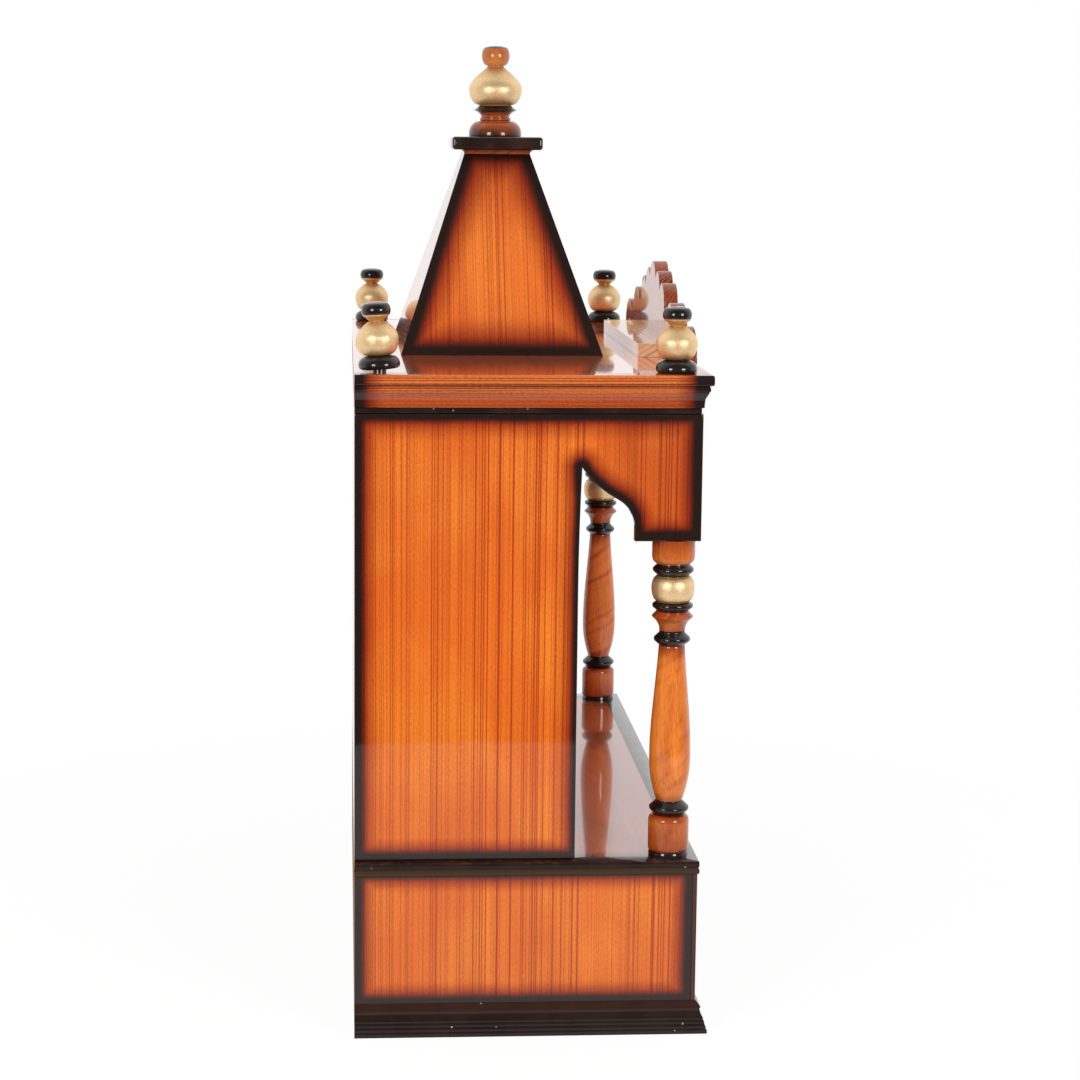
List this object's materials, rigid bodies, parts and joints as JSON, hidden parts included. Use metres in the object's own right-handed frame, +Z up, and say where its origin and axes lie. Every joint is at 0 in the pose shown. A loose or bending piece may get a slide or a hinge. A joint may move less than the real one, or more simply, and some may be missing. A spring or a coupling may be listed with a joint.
{
  "type": "wooden home temple",
  "caption": "Lacquered wooden home temple: open cabinet with turned columns and arched valances on a box base, with a scalloped crest and a hollow tapered tower under a turned finial.",
  "frame": {"origin": "centre of the bounding box's bottom face, on the level the plinth stands on", "axes": "+Z up, -Y towards the open front, +Y towards the wall, +X to the right of a person who faces the back, so -X is the side with the left-hand column"},
  "size_m": [0.698, 0.317, 0.8855],
  "materials": {
    "teak_veneer": "clear gloss lacquer over straight-grained teak veneer with black shaded edges",
    "moulding_teak": "clear gloss lacquer over stained solid wood",
    "turned_wood": "clear gloss lacquer over turned wood with black rings and a gilded bead",
    "gilded_wood": "gold paint and black gloss lacquer on turned wood",
    "black_lacquer": "black gloss lacquer on wood",
    "dark_lacquer": "dark brown high-gloss lacquer on wood",
    "plain_board": "plain stained board"
  },
  "bodies": {
    "root": {"plinth_front": "black_lacquer", "plinth_left": "black_lacquer", "plinth_right": "black_lacquer", "base_left": "teak_veneer", "base_right": "teak_veneer", "base_front": "teak_veneer", "base_back": "plain_board", "base_bottom": "plain_board", "deck_board": "dark_lacquer", "deck_nosing_front": "dark_lacquer", "deck_nosing_left": "dark_lacquer", "deck_nosing_right": "dark_lacquer", "side_board_left": "teak_veneer", "side_board_right": "teak_veneer", "front_valance": "teak_veneer", "back_panel": "teak_veneer", "column_left": "turned_wood", "column_right": "turned_wood", "ceiling_board": "black_lacquer", "top_back_rail": "plain_board", "top_board": "dark_lacquer", "cornice_front": "moulding_teak", "cornice_left": "moulding_teak", "cornice_right": "moulding_teak", "tower_front": "teak_veneer", "tower_back": "teak_veneer", "tower_left": "teak_veneer", "tower_right": "teak_veneer", "tower_cove": "moulding_teak", "tower_cap": "black_lacquer", "kalash_finial": "gilded_wood", "crest_board": "teak_veneer", "crest_strip": "moulding_teak", "finial_front_left": "gilded_wood", "finial_front_right": "gilded_wood", "finial_back_left": "gilded_wood", "finial_back_right": "gilded_wood"}
  },
  "joints": []
}
